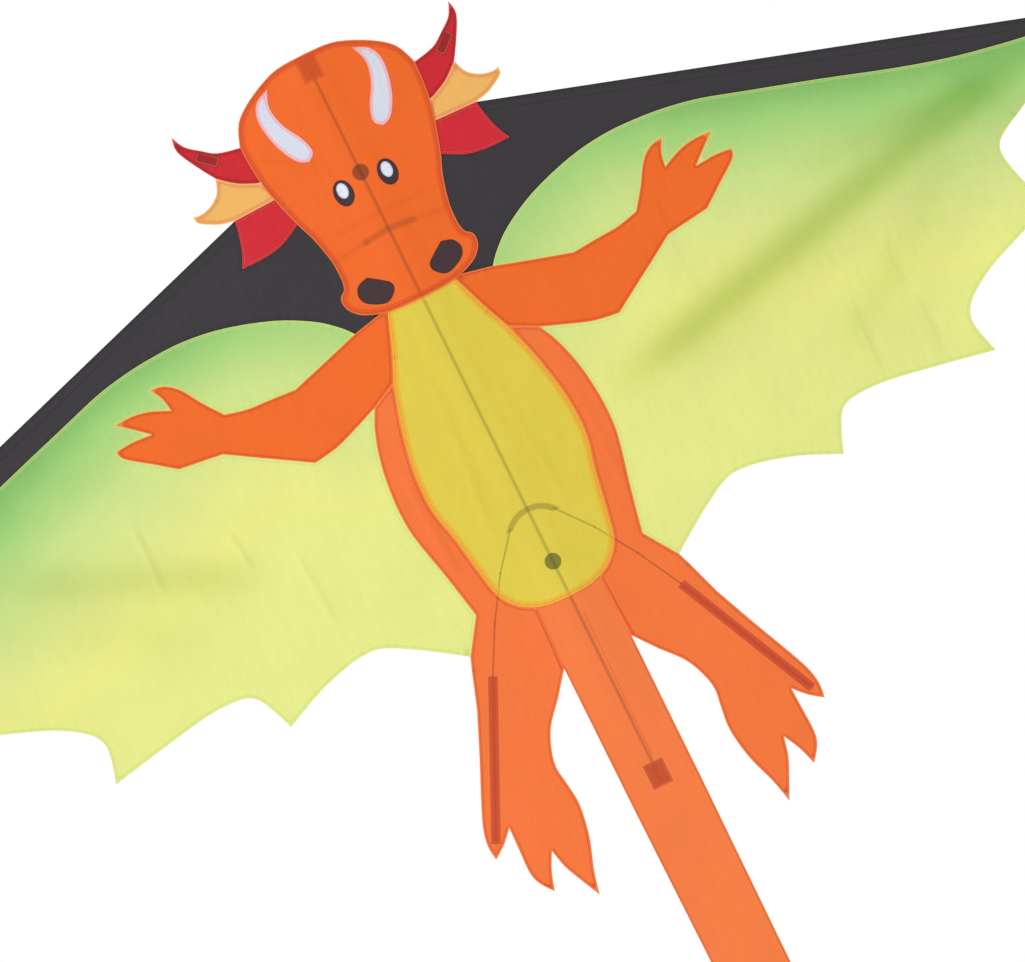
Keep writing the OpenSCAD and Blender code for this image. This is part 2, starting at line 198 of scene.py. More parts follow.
FOLDS = (
    Fold(Side.RIGHT, (960, 322), (120, 526), 30, 7.0),
    Fold(Side.RIGHT, (850, 340), (480, 350), 20, 2.4),
    Fold(Side.RIGHT, (760, 400), (470, 610), 30, 2.0),
    Fold(Side.RIGHT, (501, 494), (496, 623), 5, 1.8),
    Fold(Side.RIGHT, (575, 449), (572, 529), 5, 1.6),
    Fold(Side.RIGHT, (584, 529), (578, 635), 5, 1.6),
    Fold(Side.RIGHT, (330, 250), (322, 420), 5, 0.9),
    Fold(Side.LEFT, (720, 362), (330, 530), 28, 3.0),
    Fold(Side.LEFT, (860, 350), (420, 590), 36, 1.2),
    Fold(Side.LEFT, (476, 349), (479, 463), 3.5, 1.2),
    Fold(Side.LEFT, (368, 416), (359, 486), 3.5, 1.2),
    Fold(Side.LEFT, (300, 470), (292, 600), 4.0, 1.0),
    Fold(Side.RIGHT, (30, 300), (52, 600), 7, 0.8),
    Fold(Side.LEFT, (34, 330), (60, 620), 7, 0.8),
    Fold(Side.LEFT, (128, 420), (118, 640), 6, 1.0),
    Fold(Side.RIGHT, (130, 400), (128, 640), 6, 1.0),
)
TIP = (958.0, 302.0)
EDGE_IN = (177.0, 57.0)
HORN_FOOT = np.array([124.5, -27.0])


def relief(across: np.ndarray, down: np.ndarray, side: Optional[Side]) -> tuple[np.ndarray, np.ndarray]:
    """How the slack cloth stands out of its plane.

    Every piece of one wing uses this, so pieces that are sewn together stay together.

    Args:
        across, down: pattern points, in millimetres.
        side: their wing, or None on the spine.

    Returns:
        How far forward each stands, in millimetres, and its shading, from 0 to 1.
    """
    if side is None:
        wave = 0.8 * np.sin(down / 61) * np.cos(across / 30) + 2.2 * np.sin(down / 190)
        settled = ease((down - 1000) / 120)
        return wave * settled, np.zeros_like(across)
    slope = (TIP[1] - EDGE_IN[1]) / (TIP[0] - EDGE_IN[0])
    below_edge = (down - EDGE_IN[1] - slope * (across - EDGE_IN[0])) / math.hypot(1, slope)
    free = ease((across - 70) / 160) * ease((below_edge - 12) / 90)
    phase = 0.9 * side.value
    billow = 3.0 + 1.6 * np.sin(across / 97 + phase) * np.cos(down / 120 - phase)
    tight = np.arctan2(down - TIP[1], TIP[0] + 12 - across)
    rays = 0.9 * np.sin(tight * 17 + phase) * ease((across - 250) / 350)
    lift, shade = (billow + rays) * free, np.zeros_like(across)
    for fold in FOLDS:
        if fold.side is side:
            ridge, flank = fold.profile(across, down)
            held = np.maximum(free, 1.0 if fold.start[0] < 140 else 0.0)
            lift = lift + ridge * held
            shade = shade + flank * held * min(fold.lift / 7, 1)
    return lift, np.clip(shade, 0, 1)


# ---- Outlines and meshes ----


def outlines(node: str, side: Optional[Side]) -> list[np.ndarray]:
    """The outlines of a flat CAD cloth's front face.

    Args:
        node: the cloth's CAD node.
        side: its wing, or None on the spine.

    Returns:
        Rings of (across, -down), anticlockwise, the largest first.
    """
    bm = bmesh.new()
    bm.from_mesh(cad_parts[node].data)
    bmesh.ops.remove_doubles(bm, verts=bm.verts, dist=2e-6)
    bm.verts.index_update()
    at = to_pattern(np.array([v.co for v in bm.verts], float), side)
    front = at[:, 1].min()
    flat = [f for f in bm.faces if all(at[v.index, 1] < front + 0.03 for v in f.verts)]
    bm.edges.index_update()
    seen: dict[int, int] = {}
    for f in flat:
        for e in f.edges:
            seen[e.index] = seen.get(e.index, 0) + 1
    beside: dict[int, list[int]] = {}
    for e in bm.edges:
        if seen.get(e.index) == 1:
            a, b = (v.index for v in e.verts)
            beside.setdefault(a, []).append(b)
            beside.setdefault(b, []).append(a)
    bm.free()
    loops = []
    while beside:
        first = next(iter(beside))
        loop, last, here = [first], None, first
        while True:
            ways = [n for n in beside[here] if n != last]
            last, here = here, (ways or [first])[0]
            if here == first:
                break
            loop.append(here)
        for v in loop:
            beside.pop(v, None)
        ring = np.stack([at[loop, 0], -at[loop, 2]], 1)
        loops.append(ring if area(ring) > 0 else ring[::-1])
    return sorted(loops, key=lambda ring: -abs(area(ring)))


def area(ring: np.ndarray) -> float:
    """Signed area of a closed ring."""
    x, y = ring.T
    return float((x * np.roll(y, -1) - np.roll(x, -1) * y).sum() / 2)


def close_points(ring: np.ndarray, step: float) -> np.ndarray:
    """The ring with points no further apart than step. A shared seam gets the same points from both sides.

    Args:
        ring: the ring.
        step: the widest gap.

    Returns:
        The denser ring.
    """
    out = []
    for a, b in zip(ring, np.roll(ring, -1, 0)):
        n = max(1, math.ceil(np.linalg.norm(b - a) / step - 1e-6))
        out += [a + (b - a) * k / n for k in range(n)]
    return np.array(out)


def corner(ring: np.ndarray, at: np.ndarray) -> int:
    """Which point of a ring is nearest to a place."""
    return int(np.linalg.norm(ring - at, axis=1).argmin())


def with_corner(ring: np.ndarray, at: np.ndarray) -> np.ndarray:
    """Puts a point into the side that passes nearest to it.

    Args:
        ring: the ring.
        at: the point.

    Returns:
        The ring with one point more.
    """
    way = np.roll(ring, -1, 0) - ring
    t = np.clip(((at - ring) * way).sum(1) / (way**2).sum(1), 0, 1)
    k = int(np.linalg.norm(ring + t[:, None] * way - at, axis=1).argmin())
    return np.insert(ring, k + 1, at, 0)


def clipped(ring: np.ndarray, at: float, keep_above: bool) -> np.ndarray:
    """Cuts a ring at a level.

    Args:
        ring: the ring.
        at: the level, as -down.
        keep_above: whether the part above it stays, or the part below.

    Returns:
        The part that stays.
    """
    sign = 1 if keep_above else -1
    out = []
    for a, b in zip(ring, np.roll(ring, -1, 0)):
        da, db = sign * (a[1] - at), sign * (b[1] - at)
        if da >= 0:
            out.append(a)
        if da * db < 0:
            out.append(a + (b - a) * da / (da - db))
    return np.array(out)


def nearest(points: np.ndarray, starts: np.ndarray, ends: np.ndarray) -> tuple[np.ndarray, np.ndarray]:
    """Finds the nearest segment to each point.

    Args:
        points: the points.
        starts, ends: the segments, in order.

    Returns:
        Each point's distance to it, and how far along all the segments that is.
    """
    way = ends - starts
    long = np.maximum((way**2).sum(1), 1e-12)
    run = np.concatenate([[0], np.cumsum(np.sqrt(long))[:-1]])
    best, along = [], []
    for chunk in np.array_split(points, max(1, len(points) // 1500)):
        t = np.clip(((chunk[:, None] - starts) * way).sum(2) / long, 0, 1)
        d = np.linalg.norm(chunk[:, None] - starts - t[..., None] * way, axis=2)
        k = d.argmin(1)
        rows = np.arange(len(chunk))
        best.append(d[rows, k])
        along.append(run[k] + t[rows, k] * np.sqrt(long[k]))
    return np.concatenate(best), np.concatenate(along)


def inside(points: np.ndarray, ring: np.ndarray) -> np.ndarray:
    """Tests points against a ring.

    Args:
        points: the points.
        ring: the ring.

    Returns:
        True for each point that lies inside it.
    """
    x, y = points.T
    found = np.zeros(len(points), bool)
    for (ax, ay), (bx, by) in zip(ring, np.roll(ring, -1, 0)):
        if ay != by:
            crossed = (ay > y) != (by > y)
            found ^= crossed & (x < ax + (y - ay) * (bx - ax) / (by - ay))
    return found


def filled(ring: np.ndarray, step: float) -> tuple[np.ndarray, list[list[int]]]:
    """Fills a ring with even triangles.

    Args:
        ring: the ring.
        step: the triangles' size.

    Returns:
        The points, and the faces.
    """
    edge = close_points(ring, step)
    low, high = ring.min(0), ring.max(0)
    rows = np.arange(low[1], high[1], step * 0.866)
    grid = [
        (x, y)
        for k, y in enumerate(rows)
        for x in np.arange(low[0] + (k % 2) * step / 2, high[0], step)
    ]
    points = np.array(grid).reshape(-1, 2)
    points = points[inside(points, edge)]
    if len(points):
        away, _ = nearest(points, edge, np.roll(edge, -1, 0))
        points = points[away > step * 0.55]
    corners = [Vector(p) for p in np.concatenate([edge, points])]
    made = delaunay_2d_cdt(corners, [], [list(range(len(edge)))], 1, 1e-5)
    return np.array([tuple(v) for v in made[0]]), [list(f) for f in made[2]]


# ---- Finishes ----


@dataclass(frozen=True)
class Trace:
    """A dark line or spot on the cloth. Some are painted shadows of the rods behind it, some are painted
    shade in creases, and the rest are patches and lines of thread.
    """

    start: tuple[float, float]
    end: tuple[float, float]
    half: float
    soft: float
    strength: float
    colour: Colour = (0.05, 0.02, 0.01)
    both_sides: bool = True


@dataclass(frozen=True)
class Tape:
    """A sewn pocket that shows through the cloth, with its stitch line."""

    start: tuple[float, float]
    end: tuple[float, float]
    half: float
    colour: Colour
    thread: Colour


@dataclass(frozen=True)
class Finish:
    """How one cloth looks.

    Args:
        slot: a material slot's name; not used.
        base: the cloth's own colour.
        rim, rim_width, rim_strength: the turned seam round its edge.
        edge: the thin line of its very edge.
        thread: the stitching inside the edge.
        traces, tapes: painted shadows of the rods behind it, painted shade in its creases, its patches and
            threads, and the pockets that show through it.
        arch_shadow_strength: how dark the painted shadow of the leg hub's arch is on it.
        rough: its roughness.
        printed: whether it has the wing's print in place of its own colour.
    """

    slot: str
    base: Colour
    rim: Colour
    edge: Colour
    thread: Colour
    rim_width: float = 7.0
    rim_strength: float = 0.5
    traces: tuple[Trace, ...] = ()
    tapes: tuple[Tape, ...] = ()
    arch_shadow_strength: float = 0.0
    rough: float = 0.5
    printed: bool = False


THREAD_RED = tone(190, 60, 25)
# Painted shadows of the rods behind the sail, seen through the cloth: the spine, the spreaders, the leg rods
# and the horn rods.
SPINE_SHADOW = Trace((0, -88), (0, 965), 2.1, 1.7, 0.36)
SPREADER_TUBE_SHADOW = Trace((0, 155), (34, 159), 4.0, 3.0, 0.30)
SPREADER_SHADOW = Trace((34, 159), (84, 164), 1.8, 5.0, 0.10)
LEG_SHADOW_A = Trace((31, 580), (69, 627), 1.1, 0.9, 0.45)
LEG_SHADOW_B = Trace((69, 627), (105, 683), 1.1, 0.9, 0.45)
LEG_SHADOW_C = Trace((105, 683), LEG_MOUTH, 1.1, 0.9, 0.45)
LEG_SHADOW_D = Trace(LEG_MOUTH, LEG_END, 1.3, 0.9, 0.5)
HORN_ROD_SHADOW = Trace((60, 27), (168, -28), 0.9, 1.4, 0.05)
# Painted shade of the fold that the spreader tube makes across the brow.
BROW_FOLD_SHADE = Trace((-60, 128), (60, 133), 1.2, 7.0, 0.10, tone(180, 60, 20))
UPPER_DOT = Trace((0, 73), (0, 73), 11.0, 0.8, 0.66)
LOWER_DOT = Trace((0, 643), (0, 643), 11.0, 0.8, 0.72, tone(50, 66, 30))
# Painted shade in a crease down the tail.
TAIL_CREASE_SHADE = Trace((7, 720), (4, 930), 0.5, 0.9, 0.35, tone(200, 60, 24), both_sides=False)
TAIL_SEAM = Trace((45.5, 684), (52, 774), 2.6, 0.5, 0.40, tone(240, 60, 40))
LEG_TAPE = Tape(LEG_MOUTH, LEG_END, 6.2, tone(196, 66, 34), tone(220, 96, 60))
TAIL_TAPE = Tape((0, 937), (0, 971), 14.0, tone(190, 68, 36), tone(222, 112, 60))
HEAD_TAPE = Tape((0, -96), (0, -62), 14.0, tone(204, 76, 26), tone(232, 128, 44))
HORN_TAPE = Tape((162, -21), (186, -42), 7.5, tone(146, 26, 30), tone(224, 120, 70))
# Painted shade in the folds of the toes.
TOE_FOLD_SHADES = (
    Trace((-200, 1026), (-186, 1040), 8, 0.6, 0.45, tone(206, 64, 14), both_sides=False),
    Trace((-150, 1058), (-134, 1066), 8, 0.6, 0.45, tone(206, 64, 14), both_sides=False),
)

ORANGE = Finish(
    "orange_cloth", tone(246, 112, 44), tone(224, 84, 26), tone(250, 136, 66), THREAD_RED,
    rim_width=5, rim_strength=0.35,
)
FINISHES = {
    "head": replace(
        ORANGE, base=tone(243, 105, 30), rim=tone(214, 74, 30), rim_width=8, rim_strength=0.55,
        traces=(SPINE_SHADOW, SPREADER_TUBE_SHADOW, SPREADER_SHADOW, HORN_ROD_SHADOW, UPPER_DOT, BROW_FOLD_SHADE), tapes=(HEAD_TAPE,),
    ),
    "arm": replace(ORANGE, base=tone(242, 106, 30)),
    "leg": replace(
        ORANGE, base=tone(246, 118, 54), rim_strength=0.16,
        traces=(LEG_SHADOW_A, LEG_SHADOW_B, LEG_SHADOW_C, LEG_SHADOW_D, TAIL_SEAM, *TOE_FOLD_SHADES), tapes=(LEG_TAPE,),
    ),
    "tail": replace(
        ORANGE, base=tone(246, 124, 62), rim_width=3, rim_strength=0.16, traces=(SPINE_SHADOW, TAIL_CREASE_SHADE),
        tapes=(TAIL_TAPE,),
    ),
    "belly": Finish(
        "yellow_cloth", tone(224, 204, 70), tone(244, 168, 40), tone(246, 122, 44), tone(214, 120, 30),
        rim_width=8, rim_strength=0.62, arch_shadow_strength=0.42,
        traces=(replace(SPINE_SHADOW, colour=tone(70, 70, 20)), replace(LEG_SHADOW_A, colour=tone(90, 84, 30)),
                replace(LEG_SHADOW_B, colour=tone(90, 84, 30)), LOWER_DOT),
    ),
    "wing": Finish(
        "green_cloth", tone(146, 200, 108), tone(200, 220, 116), tone(214, 226, 126), tone(210, 222, 122),
        rim_width=5, rim_strength=0.12, printed=True,
    ),
    "dark": Finish(
        "dark_cloth", tone(55, 51, 55), tone(40, 38, 42), tone(34, 32, 34), tone(66, 62, 64),
        rim_width=5, rim_strength=0.5,
        traces=(Trace((178, 71), (950, 314), 0.7, 0.5, 0.45, tone(30, 28, 30)),
                Trace((190, 62), (958, 303), 3.0, 2.5, 0.35, tone(34, 34, 38))),
    ),
    "horn": Finish(
        "red_cloth", tone(206, 32, 44), tone(168, 22, 34), tone(232, 70, 66), tone(150, 18, 28),
        rim_width=5, rim_strength=0.45, tapes=(HORN_TAPE,),
    ),
    "frill": Finish(
        "red_cloth", tone(210, 34, 48), tone(180, 24, 36), tone(228, 60, 60), tone(240, 90, 80),
        rim_width=5, rim_strength=0.4,
    ),
    "ear": Finish(
        "tan_cloth", tone(240, 182, 96), tone(236, 150, 92), tone(248, 204, 130), tone(214, 130, 70),
        rim_width=6, rim_strength=0.5,
    ),
    "brow_stripe": Finish(
        "white_cloth", tone(218, 222, 234), tone(246, 180, 186), tone(246, 160, 160), tone(226, 196, 206),
        rim_width=4.2, rim_strength=0.85,
    ),
    "face_patches": Finish(
        "black_cloth", tone(66, 47, 51), tone(40, 26, 30), tone(36, 22, 26), tone(90, 60, 60), rim_width=2,
    ),
    "eye_shine": Finish(
        "white_cloth", tone(232, 236, 244), tone(200, 210, 226), tone(170, 190, 214), tone(210, 214, 224),
        rim_width=2,
    ),
    "pocket": Finish(
        "pocket_cloth", tone(214, 88, 40), tone(180, 62, 26), tone(160, 52, 22), tone(240, 140, 90),
        rim_width=3,
    ),
}
PRINT_STOPS = (
    (0.0, tone(126, 184, 98)), (0.14, tone(162, 210, 120)), (0.34, tone(204, 226, 136)),
    (0.56, tone(222, 231, 138)), (0.80, tone(235, 236, 134)), (1.0, tone(231, 235, 137)),
)
PRINT_REACH = 330
STITCH_PITCH = 3.4
PUCKER_TURN = 0.55
WEAVE = ((0.0009, 0.4, 3.0), (0.0045, 0.6, 24.0))
# The leg hub's arch, whose painted shadow shows through the belly: its place, and the shadow's colour.
ARCH_CENTRE, ARCH_RADIUS, ARCH_FROM = (0.0, 0.0, (NOSE - 610) / 1000), 0.043, 0.030
ARCH_SHADOW_TONE = tone(90, 84, 30)


class Graph:
    """A material's or a node group's nodes, with short ways to join them."""

    def __init__(self, tree: bpy.types.NodeTree) -> None:
        """Takes the tree that the nodes go into."""
        self.tree = tree

    def node(self, kind: str, **settings: object) -> bpy.types.Node:
        """Adds a node.

        Args:
            kind: its type.
            settings: its properties.

        Returns:
            The node.
        """
        made = self.tree.nodes.new(kind)
        for name, value in settings.items():
            setattr(made, name, value)
        return made

    def set(self, socket: Socket, value: Input) -> None:
        """Links a socket, or sets a constant on it.

        Args:
            socket: the input.
            value: another node's output, or the constant.
        """
        if isinstance(value, Socket):
            self.tree.links.new(value, socket)
        elif isinstance(value, tuple) and socket.type == "RGBA":
            socket.default_value = (*value, 1.0)
        else:
            socket.default_value = value

    def math(self, operation: str, *values: Input, clamp: bool = False) -> Socket:
        """Adds a math node.

        Args:
            operation: what it does.
            values: its inputs.
            clamp: whether it keeps to 0 to 1.

        Returns:
            Its output.
        """
        made = self.node("ShaderNodeMath", operation=operation, use_clamp=clamp)
        for socket, value in zip(made.inputs, values):
            self.set(socket, value)
        return made.outputs[0]

    def vector(self, operation: str, *values: Input, output: int = 0) -> Socket:
        """Adds a vector math node.

        Args:
            operation: what it does.
            values: its inputs.
            output: 0 for the vector, 1 for the value.

        Returns:
            That output.
        """
        made = self.node("ShaderNodeVectorMath", operation=operation)
        for socket, value in zip(made.inputs, values):
            self.set(socket, value)
        return made.outputs[output]

    def mask(self, value: Input, low: float, high: float) -> Socket:
        """Steps smoothly from 1 to 0.

        Args:
            value: what is measured.
            low: where the mask is 1. It may be above high.
            high: where the mask is 0.

        Returns:
            The mask.
        """
        made = self.node("ShaderNodeMapRange", interpolation_type="SMOOTHSTEP")
        swap = low > high
        for name, v in (
            ("Value", value), ("From Min", min(low, high)), ("From Max", max(low, high)),
            ("To Min", 0.0 if swap else 1.0), ("To Max", 1.0 if swap else 0.0),
        ):
            self.set(made.inputs[name], v)
        return made.outputs["Result"]

    def mix(self, a: Input, b: Input, factor: Input, blend: str = "MIX") -> Socket:
        """Mixes two colours.

        Args:
            a, b: the colours.
            factor: how much of b there is.
            blend: the way of mixing.

        Returns:
            The mixed colour.
        """
        made = self.node("ShaderNodeMix", data_type="RGBA", blend_type=blend)
        self.set(made.inputs["Factor"], factor)
        self.set(made.inputs[6], a)
        self.set(made.inputs[7], b)
        return made.outputs[2]

    def noise(self, at: Socket, scale: float, detail: float) -> Socket:
        """Adds noise.

        Args:
            at: where it is read.
            scale: how fine it is.
            detail: how many finer layers it has.

        Returns:
            Its value.
        """
        made = self.node("ShaderNodeTexNoise", noise_dimensions="3D")
        for name, value in (("Vector", at), ("Scale", scale), ("Detail", detail)):
            self.set(made.inputs[name], value)
        return made.outputs["Fac"]

    def bump(self, height: Socket, strength: float, distance: float) -> Socket:
        """Adds a bump.

        Args:
            height: the height.
            strength: how much of it shows.
            distance: how high 1 stands, in metres.

        Returns:
            The normal.
        """
        made = self.node("ShaderNodeBump")
        for name, value in (("Height", height), ("Strength", strength), ("Distance", distance)):
            self.set(made.inputs[name], value)
        return made.outputs[0]


def new_material(name: str) -> tuple[bpy.types.Material, Graph, bpy.types.Node]:
    """Starts a node material.

    Args:
        name: its name.

    Returns:
        The material, its graph and its shader.
    """
    made = bpy.data.materials.new(name)
    made.use_nodes = True
    shader = next(n for n in made.node_tree.nodes if n.type == "BSDF_PRINCIPLED")
    return made, Graph(made.node_tree), shader


def add_object(name: str, data: bpy.types.ID) -> bpy.types.Object:
    """Puts a new object into the scene.

    Args:
        name: its name.
        data: its mesh, lamp or camera.

    Returns:
        The object.
    """
    made = bpy.data.objects.new(name, data)
    bpy.context.scene.collection.objects.link(made)
    return made


def group(
    name: str, takes: Sequence[tuple[str, str]], build: Callable[[Graph, Sockets], Socket]
) -> bpy.types.NodeTree:
    """A node group with one Value output, made once.

    Args:
        name: its name.
        takes: its inputs, each a label and a socket type.
        build: joins its nodes, from its inputs to its output.

    Returns:
        The group.
    """
    tree = bpy.data.node_groups.get(name)
    if tree is None:
        tree = bpy.data.node_groups.new(name, "ShaderNodeTree")
        for label, kind in takes:
            tree.interface.new_socket(label, in_out="INPUT", socket_type=kind)
        tree.interface.new_socket("Value", in_out="OUTPUT", socket_type="NodeSocketFloat")
        g = Graph(tree)
        start, end = g.node("NodeGroupInput"), g.node("NodeGroupOutput")
        g.set(end.inputs[0], build(g, start.outputs))
    return tree


def _line(g: Graph, taken: Sockets) -> Socket:
    """Distance from a point to a segment.

    Args:
        g: the group's graph.
        taken: its inputs.

    Returns:
        The distance.
    """
    offset = g.vector("SUBTRACT", taken["Point"], taken["From"])
    way = g.vector("SUBTRACT", taken["To"], taken["From"])
    long = g.math("MAXIMUM", g.vector("DOT_PRODUCT", way, way, output=1), 1e-9)
    t = g.math("DIVIDE", g.vector("DOT_PRODUCT", offset, way, output=1), long, clamp=True)
    scaled = g.node("ShaderNodeVectorMath", operation="SCALE")
    g.set(scaled.inputs[0], way)
    g.set(scaled.inputs["Scale"], t)
    return g.vector("LENGTH", g.vector("SUBTRACT", offset, scaled.outputs[0]), output=1)


def _box(g: Graph, taken: Sockets) -> Socket:
    """Distance outside a turned rectangle, negative inside.

    Args:
        g: the group's graph.
        taken: its inputs.

    Returns:
        The distance.
    """
    turned = g.node("ShaderNodeVectorRotate", rotation_type="Y_AXIS")
    g.set(turned.inputs["Vector"], g.vector("SUBTRACT", taken["Point"], taken["Centre"]))
    g.set(turned.inputs["Angle"], taken["Turn"])
    parts = g.node("ShaderNodeSeparateXYZ")
    g.set(parts.inputs[0], g.vector("ABSOLUTE", turned.outputs[0]))
    return g.math(
        "MAXIMUM",
        g.math("SUBTRACT", parts.outputs["X"], taken["Half width"]),
        g.math("SUBTRACT", parts.outputs["Z"], taken["Half length"]),
    )


def _ring(g: Graph, taken: Sockets) -> Socket:
    """Distance to the upper part of a circle.

    Args:
        g: the group's graph.
        taken: its inputs.

    Returns:
        The distance.
    """
    offset = g.vector("SUBTRACT", taken["Point"], taken["Centre"])
    parts = g.node("ShaderNodeSeparateXYZ")
    g.set(parts.inputs[0], offset)
    away = g.math("ABSOLUTE", g.math("SUBTRACT", g.vector("LENGTH", offset, output=1), taken["Radius"]))
    return g.math("MAXIMUM", away, g.math("SUBTRACT", taken["From height"], parts.outputs["Z"]))


def _ripstop(g: Graph, taken: Sockets) -> Socket:
    """A fine weave with a thicker thread every few.

    Args:
        g: the group's graph.
        taken: its inputs.

    Returns:
        The weave, from 0 to 1.
    """
    parts = g.node("ShaderNodeSeparateXYZ")
    g.set(parts.inputs[0], taken["Point"])
    total = None
    for axis in ("X", "Z"):
        for pitch, share, sharpness in WEAVE:
            turn = g.math("MULTIPLY", parts.outputs[axis], 2 * math.pi / pitch)
            wave = g.math("POWER", g.math("MULTIPLY_ADD", g.math("COSINE", turn), 0.5, 0.5), sharpness)
            part = g.math("MULTIPLY", wave, share / 2)
            total = part if total is None else g.math("ADD", total, part)
    return total


VECTOR, FLOAT = "NodeSocketVector", "NodeSocketFloat"


class ClothMaterial:
    """Builds one cloth's material from its finish."""

    def __init__(self, name: str, finish: Finish) -> None:
        """Starts the material, with its coordinates as they are, flat, and folded at the spine.

        Args:
            name: the material's name.
            finish: how it looks.
        """
        self.finish = finish
        self.material, self.g, self.shader = new_material(name)
        self.here = self.g.node("ShaderNodeTexCoord").outputs["Object"]
        self.flat = self.g.vector("MULTIPLY", self.here, (1.0, 0.0, 1.0))
        parts = self.g.node("ShaderNodeSeparateXYZ")
        self.g.set(parts.inputs[0], self.flat)
        folded = self.g.node("ShaderNodeCombineXYZ")
        self.g.set(folded.inputs["X"], self.g.math("ABSOLUTE", parts.outputs["X"]))
        self.g.set(folded.inputs["Z"], parts.outputs["Z"])
        self.point = folded.outputs[0]

    def attribute(self, name: str) -> Socket:
        """A value held at the cloth's points."""
        return self.g.node("ShaderNodeAttribute", attribute_name=name).outputs["Fac"]

    def use(self, tree: bpy.types.NodeTree, **values: Input) -> Socket:
        """Puts a node group in.

        Args:
            tree: the group.
            values: its inputs, with _ for a space.

        Returns:
            Its output.
        """
        made = self.g.node("ShaderNodeGroup", node_tree=tree)
        for name, value in values.items():
            self.g.set(made.inputs[name.replace("_", " ")], value)
        return made.outputs[0]

    @staticmethod
    def spot(at: tuple[float, float]) -> tuple[float, float, float]:
        """A pattern point as the folded coordinates that the graph uses."""
        x, _, z = to_kite(np.array([abs(at[0])]), np.array([at[1]]), np.zeros(1), Side.RIGHT)[0]
        return (float(x) if at[0] >= 0 else -float(x), 0.0, float(z))

    def behind(self, colour: Input) -> Input:
        """The painted shadows of the rods, the painted shade of creases, and the patches, threads and
        pockets that show through the cloth.

        Args:
            colour: the cloth's colour.

        Returns:
            The colour with them in it.
        """
        g = self.g
        line = group("Line distance", (("Point", VECTOR), ("From", VECTOR), ("To", VECTOR)), _line)
        box = group("Box distance", (("Point", VECTOR), ("Centre", VECTOR), ("Turn", FLOAT),
                                     ("Half width", FLOAT), ("Half length", FLOAT)), _box)
        ring = group("Ring distance", (("Point", VECTOR), ("Centre", VECTOR), ("Radius", FLOAT),
                                       ("From height", FLOAT)), _ring)
        # Painted shadows of the rods, painted shade in creases, and the patches and thread lines.
        for t in self.finish.traces:
            at = self.point if t.both_sides else self.flat
            d = self.use(line, Point=at, From=self.spot(t.start), To=self.spot(t.end))
            seen = g.mask(d, max(t.half - t.soft, 0) / 1000, (t.half + t.soft) / 1000)
            colour = g.mix(colour, t.colour, g.math("MULTIPLY", seen, t.strength))
        for t in self.finish.tapes:
            a, b = Vector(self.spot(t.start)), Vector(self.spot(t.end))
            way = b - a
            d = self.use(box, Point=self.point, Centre=tuple((a + b) / 2), Turn=-math.atan2(-way.x, -way.z),
                         Half_width=t.half / 1000, Half_length=way.length / 2)
            colour = g.mix(colour, t.colour, g.math("MULTIPLY", g.mask(d, -0.0004, 0.0005), 0.85))
            seam = g.mask(g.math("ABSOLUTE", g.math("ADD", d, 0.0018)), 0.0002, 0.0007)
            colour = g.mix(colour, t.thread, g.math("MULTIPLY", seam, 0.6))
        # The painted shadow of the leg hub's arch, seen through the cloth.
        if self.finish.arch_shadow_strength:
            d = self.use(
                ring, Point=self.point, Centre=ARCH_CENTRE, Radius=ARCH_RADIUS, From_height=ARCH_FROM)
            seen = g.mask(d, 0.0028, 0.0052)
            colour = g.mix(colour, ARCH_SHADOW_TONE, g.math("MULTIPLY", seen, self.finish.arch_shadow_strength))
        return colour

    def printed(self) -> Socket:
        """The wing's print.

        Returns:
            Its colour, green by the dark panel and yellow away from it.
        """
        g = self.g
        ramp = g.node("ShaderNodeValToRGB")
        wander = g.math("MULTIPLY", g.math("SUBTRACT", g.noise(self.here, 6.0, 2.0), 0.5), 0.14)
        g.set(ramp.inputs[0], g.math("ADD", self.attribute("front"), wander))
        elements = ramp.color_ramp.elements
        for k, (place, colour) in enumerate(PRINT_STOPS):
            element = elements[k] if k < 2 else elements.new(place)
            element.position, element.color = place, (*colour, 1.0)
        return ramp.outputs[0]

    def build(self) -> bpy.types.Material:
        """Joins the whole graph up.

        Returns:
            The material.
        """
        f, g = self.finish, self.g
        colour = self.printed() if f.printed else f.base
        cloud = g.noise(self.here, 14.0, 4.0)
        uneven = g.math("MULTIPLY_ADD", cloud, 0.16, 0.92)
        tinted = g.node("ShaderNodeCombineColor")
        for socket in tinted.inputs:
            g.set(socket, uneven)
        colour = g.mix(colour, tinted.outputs[0], 0.6, "MULTIPLY")
        colour = self.behind(colour)
        rim, along = self.attribute("rim"), self.attribute("along")
        band = g.math("MULTIPLY", g.mask(rim, f.rim_width - 0.5, f.rim_width + 0.6), f.rim_strength)
        colour = g.mix(colour, f.rim, band)
        dash = g.mask(g.math("SINE", g.math("MULTIPLY", along, 2 * math.pi / STITCH_PITCH)), 0.7, 0.2)
        seam_at = min(f.rim_width * 0.62, 3.4)
        stitch = g.mask(g.math("ABSOLUTE", g.math("SUBTRACT", rim, seam_at)), 0.25, 0.7)
        stitch = g.math("MULTIPLY", stitch, g.math("SUBTRACT", 1.0, g.math("MULTIPLY", dash, 0.7)))
        colour = g.mix(colour, f.thread, g.math("MULTIPLY", stitch, 0.7))
        colour = g.mix(colour, f.edge, g.math("MULTIPLY", g.mask(rim, 0.5, 1.3), 0.75))
